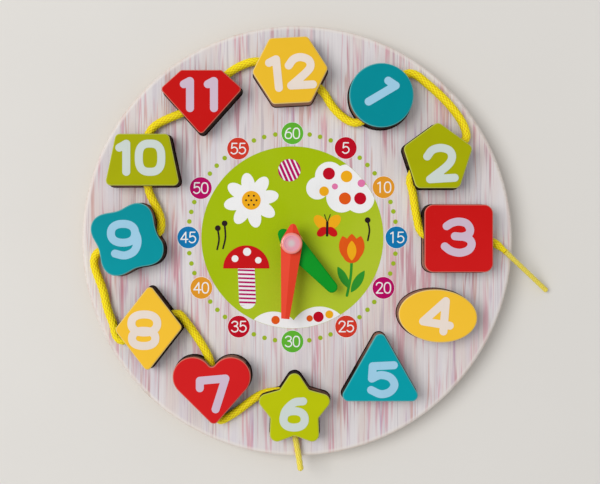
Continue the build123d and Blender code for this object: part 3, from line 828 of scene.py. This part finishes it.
reach = laceShape["blockReach"] / laceShape["step"]
for place, number in enumerate(laced):
    first = betweens[place - 1] if place else 0
    inside = [station for station in range(first, laceEnd)
              if abs(station - middles[place]) < reach and overBlock(number, lace.line[station])]
    cut = laceEnd if place == len(laced) - 1 else inside[-1] - laceShape["tuckedSteps"]
    addStretch(f"lace_{number}", number, first, cut, first if place else None, inside[0])
    rest = []
    if place < len(laced) - 1:
        after = betweens[place]
        rest.append(addStretch(f"lace_{number}_rest", number, cut, after, after, inside[-1]))
    laceParts[-1 - len(rest)]["rest"] = rest
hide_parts("lacing_cord")


def tipRadius(length, wide):
    # a little wider at its root, faintly wavy and rounded at its far end
    def radius(here):
        left = max(0.0, length - here)
        rounding = math.sqrt(min(1.0, left / tipShape["roundedEnd"]))
        root = tipShape["rootSwell"] * math.exp(-here / tipShape["rootReach"])
        wave = tipShape["waveHeight"] * math.sin(here * tipShape["waveTurn"])
        return (wide + root + wave) * max(rounding, tipShape["smallestEnd"])
    return radius


def makeTip(name, points, wide):
    route = Route(name + "Route", points, tipShape["step"])
    tip = braidedTube(name + "_piece", route, 0, len(route.at) - 1, tipRadius(route.length, wide),
                      lambda here: tipShape["relief"], slotMaterials["lace_tip"])
    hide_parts(name)
    return tip, route


rightTip, rightRoute = makeTip("lace_tip_right", rightTipPoints, tipShape["rightRadius"])
tuple(rightRoute.line[-1])
tuple(rightRoute.line[0])
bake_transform(rightTip)
bottomTip, _ = makeTip("lace_tip_bottom", bottomTipPoints, tipShape["bottomRadius"])
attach(bottomTip, "block_6")

main = [entry for entry in laceParts if "rest" in entry]
main[0]["rest"].append(rightTip)
main[-1]["rest"].append(bottomTip)
for entry in main:
    path = lace.line[entry["first"]:entry["last"] + 1]
    tuple(lace.line[entry["mouth"]])
    [tuple(point) for point in path]
print("lace ready:", round(lace.length, 4), "m in", len(laceParts), "stretches")


# printing: shapes traced from a distance field and given a thin body
inkShape = {
    "spanPoints": 10,
    "loopPoints": 56,
    "onLine": 1e-6,  # a grid value nearer zero than this counts as just outside
    "outside": 1e-3,
    "nearestCut": 0.02,  # a cut keeps this share of a cell away from its corners
    "flatAngle": 0.02,
}


def evenly(points):
    # a soft line through given points
    points = np.array(points, float)
    if len(points) < 3:
        return points
    padded = np.vstack([2 * points[0] - points[1], points, 2 * points[-1] - points[-2]])
    line = []
    for before, here, after, beyond in zip(padded, padded[1:], padded[2:], padded[3:]):
        for share in np.arange(inkShape["spanPoints"]) / inkShape["spanPoints"]:
            line.append(0.5 * (2 * here + (after - before) * share
                               + (2 * before - 5 * here + 4 * after - beyond) * share ** 2
                               + (3 * here - before - 3 * after + beyond) * share ** 3))
    line.append(points[-1])
    return np.array(line)


def loop(x, y, wide, high, power=2.3):
    # an oval, the squarer the larger the power
    turn = np.linspace(0, 2 * math.pi, inkShape["loopPoints"])
    bend = 2 / power
    return np.stack([x + wide * np.sign(np.cos(turn)) * np.abs(np.cos(turn)) ** bend,
                     y + high * np.sign(np.sin(turn)) * np.abs(np.sin(turn)) ** bend], axis=1)


def toLines(strokes):
    # a stroke is a list of points, or what loop takes for a closed one
    return [loop(*stroke) if isinstance(stroke, tuple) else evenly(stroke) for stroke in strokes]


def strokeField(lines, width):
    # how far a place lies outside a pen line of this width; inside it is negative, as in all the fields
    def field(x, y):
        best = np.full(x.shape, 1e3)
        for line in lines:
            for (ax, ay), (bx, by) in zip(line, line[1:]):
                lengthSquared = (bx - ax) ** 2 + (by - ay) ** 2
                along = (x - ax) * (bx - ax) + (y - ay) * (by - ay)
                share = np.clip(along / max(lengthSquared, 1e-9), 0, 1)
                best = np.minimum(best, np.hypot(x - ax - share * (bx - ax), y - ay - share * (by - ay)))
        return best - width / 2
    return field


def fieldBox(lines, width):
    everything = np.vstack(lines)
    return (*(everything.min(0) - width), *(everything.max(0) + width))


def inkPiece(name, field, box, step, bottom, top, material, at=(0.0, 0.0), body="board", slot=None):
    # lengths in millimetres; the cells inside the shape are kept and those on its line are cut there
    xs = np.arange(box[0], box[2] + step, step)
    ys = np.arange(box[1], box[3] + step, step)
    gridX, gridY = np.meshgrid(xs, ys, indexing="ij")
    value = field(gridX, gridY)
    value[np.abs(value) < inkShape["onLine"]] = inkShape["onLine"]
    value[[0, -1], :] = np.maximum(value[[0, -1], :], inkShape["outside"])
    value[:, [0, -1]] = np.maximum(value[:, [0, -1]], inkShape["outside"])
    inside = value < 0
    spots, found = [], {}

    def spot(key, x, y):
        if key not in found:
            found[key] = len(spots)
            spots.append((x, y))
        return found[key]

    def crossing(one, other):
        first, second = sorted((one, other))
        share = value[first] / (value[first] - value[second])
        share = min(1 - inkShape["nearestCut"], max(inkShape["nearestCut"], share))
        return spot((first, second), xs[first[0]] + share * (xs[second[0]] - xs[first[0]]),
                    ys[first[1]] + share * (ys[second[1]] - ys[first[1]]))

    cells = inside[:-1, :-1] | inside[1:, :-1] | inside[:-1, 1:] | inside[1:, 1:]
    faces = []
    for column, row in zip(*np.nonzero(cells)):
        corners = [(column, row), (column + 1, row), (column + 1, row + 1), (column, row + 1)]
        face = []
        for one, other in zip(corners, corners[1:] + corners[:1]):
            if inside[one]:
                face.append(spot(one, xs[one[0]], ys[one[1]]))
            if inside[one] != inside[other]:
                face.append(crossing(one, other))
        faces.append(face)
    mesh = bmesh.new()
    corners = [mesh.verts.new(((x + at[0]) * mm, (y + at[1]) * mm, top * mm)) for x, y in spots]
    for face in faces:
        if len(set(face)) > 2:
            mesh.faces.new([corners[index] for index in dict.fromkeys(face)])
    bmesh.ops.dissolve_limit(mesh, angle_limit=inkShape["flatAngle"], verts=mesh.verts, edges=mesh.edges)
    bmesh.ops.triangulate(mesh, faces=mesh.faces, ngon_method="EAR_CLIP")
    mesh.verts.index_update()
    flat = [tuple(vertex.co) for vertex in mesh.verts]
    tops = [tuple(vertex.index for vertex in face.verts) for face in mesh.faces]
    rims = []
    for line in mesh.edges:
        if len(line.link_faces) == 1:
            order = [vertex.index for vertex in line.link_faces[0].verts]
            one, other = (vertex.index for vertex in line.verts)
            if order[(order.index(one) + 1) % 3] != other:
                one, other = other, one
            rims.append((one, other))
    mesh.free()
    count = len(flat)
    points = flat + [(x, y, bottom * mm) for x, y, _ in flat]
    solid = tops + [tuple(index + count for index in reversed(face)) for face in tops]
    solid += [(other, one, one + count, other + count) for one, other in rims]
    return makeObject(name, points, solid, material, body=body, slot=slot)


blockNumbers = {
    "strokeWidth": 3.9,
    "step": 0.34,
    "thickness": 0.1,
    "sink": 0.05,
}
numberStrokes = {
    # in millimetres from each block's middle
    1: [[(3.3, 7), (6.9, 4.6)], [(6.9, 4.6), (-6.3, -3.2)]],
    2: [[(-5.3, 0.9), (-2.8, 4), (1.4, 5.1), (5.5, 3.8), (6.8, 0.5), (4.5, -3.6), (-3.9, -10.2)],
        [(-3.9, -10.2), (8.1, -9.5)]],
    3: [[(-6, 6), (-3.5, 7.5), (0, 8.2), (3.6, 7.3), (5.4, 4.6), (4.7, 2.1), (1.8, 0.9),
         (-2, 1.1)],
        [(1.8, 0.9), (4.8, -0.2), (6.2, -2.7), (4.7, -5.6), (0.6, -7), (-3.8, -6.1), (-6.9, -3.9)]],
    4: [[(3.8, 7.3), (-7.3, -2.6)], [(-7.3, -2.6), (5.7, -4.7)], [(3.8, 7.3), (2.6, -7.5)]],
    5: [[(6.6, -0.3), (-3.7, -0.8)], [(-3.7, -0.8), (-4.1, -6.8)],
        [(-4.1, -6.8), (0.1, -5.1), (4.8, -6.3), (6.9, -9.8), (4.8, -13.2), (0.3, -14.4),
         (-4.5, -12.4)]],
    6: [[(4.2, 4.5), (-0.2, 3.8), (-4.3, -0.1), (-5.4, -4.3)], (-0.2, -4.3, 5.2, 4)],
    7: [[(-5.7, 1), (-5.7, 4.6)], [(-5.7, 4.6), (6.6, 5.7)], [(6.8, 5.7), (2, -9.3)]],
    8: [(-2, 2.5, 6.3, 4.4), (-2.3, -4.8, 5.7, 3.7)],
    9: [(-1.9, 3, 5.9, 4.6),
        [(4, 3.5), (5.1, 0.5), (5, -2.6), (3.5, -5.7), (0.9, -7.3), (-1.9, -7.8), (-5.8, -6.9)]],
    10: [[(-11.1, 5.8), (-7.8, 7.7)], [(-7.7, 7.7), (-7.7, -6)], (3.9, 0.9, 5.5, 6.9, 2.7)],
    11: [[(-8.4, 8.2), (-5.6, 9.7)], [(-5.4, 9.7), (-5.4, -3.5)], [(3.3, 8.2), (6.1, 9.7)],
         [(6.3, 9.7), (6.3, -3.5)]],
    12: [[(-10.3, 3.5), (-7.1, 5.2)], [(-6.9, 5.2), (-5.5, -8.7)],
         [(-0.7, 2.2), (1.7, 5.3), (5.2, 6.3), (9, 4.9), (9.9, 1.8), (7.5, -1.5), (0.5, -7.6)],
         [(0.5, -7.6), (11.1, -7)]],
}
blockMiddles = {
    1: (41.3, 71.1), 2: (68.9, 40.2), 3: (79.1, 1.1), 4: (68.9, -36.8),
    5: (40.7, -60.5), 6: (-1.2, -82.9), 7: (-41.7, -73.0), 8: (-72.5, -42.9),
    9: (-83.0, 0.6), 10: (-75.6, 39.6), 11: (-46.8, 68.2), 12: (-3.3, 83.3),
}
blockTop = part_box("number_block_1")[1].z / mm
for number, strokes in numberStrokes.items():
    lines = toLines(strokes)
    wide = blockNumbers["strokeWidth"]
    slot = slotOf[f"number_block_{number}"]
    inkPiece(f"number_{number}_print", strokeField(lines, wide), fieldBox(lines, wide), blockNumbers["step"],
             blockTop - blockNumbers["sink"], blockTop + blockNumbers["thickness"], numberPrints[slot],
             at=blockMiddles[number], body=f"block_{number}", slot=slot)
print("block numbers printed")


# dial
dial = {
    "x": -2.3,
    "y": 1.65,
    "numberRing": 51.9,
    "discTurns": (0.0, 30.8, 61.2, 90.0, 119.0, 148.9, 180.0, 211.0, 241.0, 270.0, 298.3, 328.6),
    "discRadius": 5.45,
    "discBorder": 0.2,
    "dotRadius": 1.15,
    "dotRing": 52.0,
    "dotShares": (0.31, 0.5, 0.70),
    "greenRadius": 45.4,
    "discGrid": 0.45,
    "digitGrid": 0.16,
    "dotGrid": 0.22,
    "greenGrid": 0.9,
    "boxMargin": 0.5,
    "firstLayer": 13.05,
    "layer": 0.05,
    "sink": 0.03,
    "strokeWidth": 0.6,
    "digitSize": 1.08,
    "digitStep": 4.0,
}
dialColours = {
    "crimson": (190, 8, 34), "orange": (226, 152, 40), "blue": (14, 120, 180),
    "magenta": (182, 4, 98), "vermilion": (212, 58, 40), "green": (96, 180, 50),
    "dot": (158, 182, 40), "white": (240, 240, 240), "yellow": (240, 172, 24),
    "red": (200, 18, 24), "pink": (226, 120, 170), "leaf": (46, 146, 46),
    "ink": (40, 26, 30), "orangeRed": (224, 88, 22),
}
# the green disc's pale colour is painted light: it takes over towards the lower right
greenField = {"light": linear(164, 188, 4), "pale": linear(180, 198, 52)}
dialInks = {name: printMaterial("dial_" + name, linear(*colour)) for name, colour in dialColours.items()}
dialInks["lime"] = printMaterial("dial_limeField", greenField["light"], greenField["pale"])
minuteDiscs = ("green", "crimson", "orange", "blue", "magenta", "vermilion") * 2
thinDigits = {
    "0": [(0, 0, 1.45, 2.4, 2.4)],
    "1": [[(-0.8, 1.7), (0.25, 2.4)], [(0.25, 2.4), (0.25, -2.4)]],
    "2": [[(-1.4, 1.3), (-1, 2.1), (0, 2.45), (1.05, 2.05), (1.3, 1.2), (0.7, 0), (-1.4, -2.4)],
          [(-1.4, -2.4), (1.45, -2.4)]],
    "3": [[(-1.3, 1.7), (-0.6, 2.3), (0.2, 2.4), (1.1, 2), (1.25, 1.2), (0.7, 0.4), (-0.2, 0.2)],
          [(-0.2, 0.2), (0.9, 0), (1.5, -0.9), (1.3, -1.8), (0.3, -2.4), (-0.7, -2.3), (-1.45, -1.7)]],
    "4": [[(0.7, 2.4), (-1.6, -0.9)], [(-1.6, -0.9), (1.6, -0.9)], [(0.7, 2.4), (0.7, -2.4)]],
    "5": [[(1.25, 2.4), (-0.9, 2.4)], [(-0.9, 2.4), (-1.15, 0.1)],
          [(-1.15, 0.1), (-0.2, 0.6), (0.8, 0.45), (1.5, -0.5), (1.3, -1.6), (0.5, -2.3), (-0.5, -2.4),
           (-1.4, -1.8)]],
    "6": [[(1, 2.35), (0, 2.1), (-1, 0.9), (-1.45, -0.9)], (0, -0.95, 1.45, 1.45)],
}


def roundField(*circles):
    # union of circles (x, y, radius)
    def field(x, y):
        return np.minimum.reduce([np.hypot(x - cx, y - cy) - radius for cx, cy, radius in circles])
    return field


def dialInk(name, field, box, step, layer, ink):
    top = dial["firstLayer"] + layer * dial["layer"]
    inkPiece(name, field, box, step, top - dial["layer"] - dial["sink"], top, dialInks[ink],
             at=(dial["x"], dial["y"]), slot="whitewashed_face")


def dialRound(name, circle, layer, ink, step):
    x, y, radius = circle
    reach = radius + dial["boxMargin"]
    dialInk(name, roundField(circle), (x - reach, y - reach, x + reach, y + reach), step, layer, ink)


def onRing(degrees, radius):
    turn = math.radians(degrees)
    return radius * math.sin(turn), radius * math.cos(turn)


for index, ink in enumerate(minuteDiscs):
    x, y = onRing(dial["discTurns"][index], dial["numberRing"])
    minutes = 60 if index == 0 else 5 * index
    radius = dial["discRadius"]
    dialRound(f"minute_{minutes}_border", (x, y, radius + dial["discBorder"]), 0, "white", dial["discGrid"])
    dialRound(f"minute_{minutes}_disc", (x, y, radius), 1, ink, dial["discGrid"])
    lines = []
    for position, digit in enumerate(str(minutes)):
        shift = (position - (len(str(minutes)) - 1) / 2) * dial["digitStep"]
        lines += [line * dial["digitSize"] + np.array([x + shift, y]) for line in toLines(thinDigits[digit])]
    width = dial["strokeWidth"]
    dialInk(f"minute_{minutes}_digits", strokeField(lines, width), fieldBox(lines, width),
            dial["digitGrid"], 2, "white")
turns = (*dial["discTurns"], 360.0)
dots = [(*onRing(one + (other - one) * share, dial["dotRing"]), dial["dotRadius"])
        for one, other in zip(turns, turns[1:]) for share in dial["dotShares"]]
for place, dot in enumerate(dots):
    dialRound(f"minute_dot_{place + 1}", dot, 0, "dot", dial["dotGrid"])
dialRound("dial_green", (0, 0, dial["greenRadius"]), 0, "lime", dial["greenGrid"])
print("dial numbers printed")


# a plain meadow pattern on the green disc
def turned(x, y, x0, y0, degrees):
    cos, sin = math.cos(math.radians(degrees)), math.sin(math.radians(degrees))
    return (x - x0) * cos + (y - y0) * sin, (y - y0) * cos - (x - x0) * sin


def oval(x0, y0, long, wide, degrees):
    def field(x, y):
        along, across = turned(x, y, x0, y0, degrees)
        return (np.hypot(along / long, across / wide) - 1) * min(long, wide)
    return field


def leaf(x0, y0, length, width, degrees):
    # two arcs that meet in a point at each end
    radius = (length ** 2 + width ** 2) / (4 * width)

    def field(x, y):
        along, across = turned(x, y, x0, y0, degrees)
        return np.hypot(along, np.abs(across) + radius - width / 2) - radius
    return field


def stripes(x0, y0, degrees, pitch, width):
    def field(x, y):
        along, _ = turned(x, y, x0, y0, degrees)
        return np.abs((along / pitch + 0.5) % 1 - 0.5) * pitch - width / 2
    return field


def above(height):
    return lambda x, y: height - y


def together(*fields):
    return lambda x, y: np.minimum.reduce([field(x, y) for field in fields])


def overlap(*fields):
    return lambda x, y: np.maximum.reduce([field(x, y) for field in fields])


def dotsOf(*circles):
    return together(*(roundField(circle) for circle in circles))


meadow = {
    "edge": 45.3,
    "grid": 0.34,
    "fineGrid": 0.2,
    "daisy": (-20.5, 18.5),
    "petals": 8,
    "petalTurn": 11,
    "petalReach": 8.2,
    "petalLong": 5.6,
    "petalWide": 3.3,
    "seeds": 6,
    "seedReach": 2.6,
    "seedRadius": 0.5,
    "cap": (-23, -15.5, 11.5),
    "stalk": [(-23, -16), (-22.4, -31.5)],
    "stalkWidth": 8.4,
    "ball": (-1.5, 33.5, 5.6),
}
daisyX, daisyY = meadow["daisy"]


def roundDaisy(count, first, reach):
    # (x, y, degrees) of pieces spread evenly round the daisy's middle
    turns = np.arange(count) * 360 / count + first
    return [(*(onRing(90 - turn, reach) + np.array(meadow["daisy"])), turn) for turn in turns]


petals = [oval(x, y, meadow["petalLong"], meadow["petalWide"], turn)
          for x, y, turn in roundDaisy(meadow["petals"], meadow["petalTurn"], meadow["petalReach"])]
seeds = dotsOf(*((x, y, meadow["seedRadius"])
                 for x, y, _ in (*roundDaisy(meadow["seeds"], 0, meadow["seedReach"]), (daisyX, daisyY, 0))))
cloud = dotsOf((12.5, 24.5, 5.6), (18.5, 30.5, 7.2), (27.5, 28, 8.4), (33.5, 19.5, 7.4), (24.5, 20, 7.6))
mound = dotsOf((13.5, -50, 15.5), (-9.5, -51, 14))
stalk = strokeField(toLines([meadow["stalk"]]), meadow["stalkWidth"])
cap = overlap(roundField(meadow["cap"]), above(meadow["cap"][1]))
ball = roundField(meadow["ball"])
inside = roundField((0, 0, meadow["edge"]))
stems = toLines([[(-37.5, -6), (-36.6, -1), (-37.2, 4)], [(-34.6, -5.5), (-33.4, 0), (-33.8, 6.4)],
                 [(37.6, -1.5), (38.4, 3.5), (37.6, 8)]])
meadowShapes = (
    # name, shape, its box, layer and ink
    ("white", overlap(together(cloud, mound, stalk, *petals), inside), (-36, -46, 44, 40), 1, "white"),
    ("cap", cap, (-36, -17, -10, -2), 2, "red"),
    ("capSpots", dotsOf((-28.6, -10.6, 1.7), (-22.6, -7.2, 2), (-17, -11.4, 1.6)),
     (-32, -14, -14, -4), 3, "white"),
    ("stalkBands", overlap(stalk, stripes(-23, -18.4, 88, 2, 0.9), above(-34)),
     (-28, -37, -17, -15), 2, "magenta"),
    ("ball", ball, (-8, 27, 5, 40), 1, "magenta"),
    ("ballBands", overlap(ball, stripes(-1.5, 33.5, 24, 2.1, 0.8)), (-8, 27, 5, 40), 2, "white"),
    ("daisyHeart", roundField((daisyX, daisyY, 4.7)), (-26, 13, -15, 24), 2, "yellow"),
    ("redDots", dotsOf((18.2, 31.8, 3), (33.8, 19.4, 3), (13, -39.6, 2.6)), (9, -43, 38, 36), 2, "crimson"),
    ("orangeDots", dotsOf((26.2, 19.4, 3), (8.6, -40.4, 1.6), (-8.4, -41.2, 2.1)),
     (-12, -44, 30, 23), 2, "orangeRed"),
    ("yellowDots", dotsOf((27, 30.4, 2.9), (15.8, 23, 2.4), (18.4, -38.4, 2)),
     (12, -42, 31, 34), 2, "yellow"),
    ("pinkDots", dotsOf((34.4, 27, 1.9), (21.2, 25.4, 1.5)), (18, 22, 38, 30), 2, "pink"),
    ("tulip", together(leaf(26.6, -5.6, 13, 6.4, 104), leaf(29.6, -5, 13.6, 7, 90),
                       leaf(32.6, -5.6, 13, 6.4, 76), roundField((29.6, -8.4, 4.4))), (21, -14, 38, 3), 2,
     "orangeRed"),
    ("tulipFront", leaf(29.6, -6.6, 10, 4.6, 90), (26, -13, 34, 0), 3, "yellow"),
    ("tulipStem", together(strokeField(toLines([[(29.6, -11), (29, -20), (27.2, -29)]]), 1.3),
                           leaf(32.6, -22, 13, 4.2, 58), leaf(25.4, -20, 12.5, 4, 118)),
     (20, -32, 38, -9), 1, "leaf"),
    ("wings", together(oval(14.2, 7.4, 4.4, 2.7, 132), oval(20.6, 7.6, 4.4, 2.7, 46)),
     (9, 2, 26, 13), 1, "yellow"),
    ("lowerWings", together(oval(14.8, 2.8, 3, 2, 220), oval(19.8, 2.8, 3, 2, 320)), (11, -1, 24, 7), 2,
     "red"),
    ("stems", together(strokeField(stems, 0.8), dotsOf((-37.2, 4.6, 1.4), (-33.8, 7, 1.4), (37.5, 8.6, 1.4)),
                       strokeField(toLines([[(17.3, 1), (17.4, 7.4)]]), 1.2),
                       strokeField(toLines([[(17.3, 7.4), (16, 11.4)], [(17.5, 7.4), (18.9, 11.4)]]), 0.4)),
     (-40, -8, 41, 13), 3, "ink"),
    ("seeds", seeds, (-25, 14, -16, 23), 3, "ink"),
)
for name, field, box, layer, ink in meadowShapes:
    dialInk(f"meadow_{name}", field, box, meadow["fineGrid" if ink == "ink" else "grid"], layer, ink)
print("meadow printed:", len(meadowShapes))


# the last line
print("scene ready")
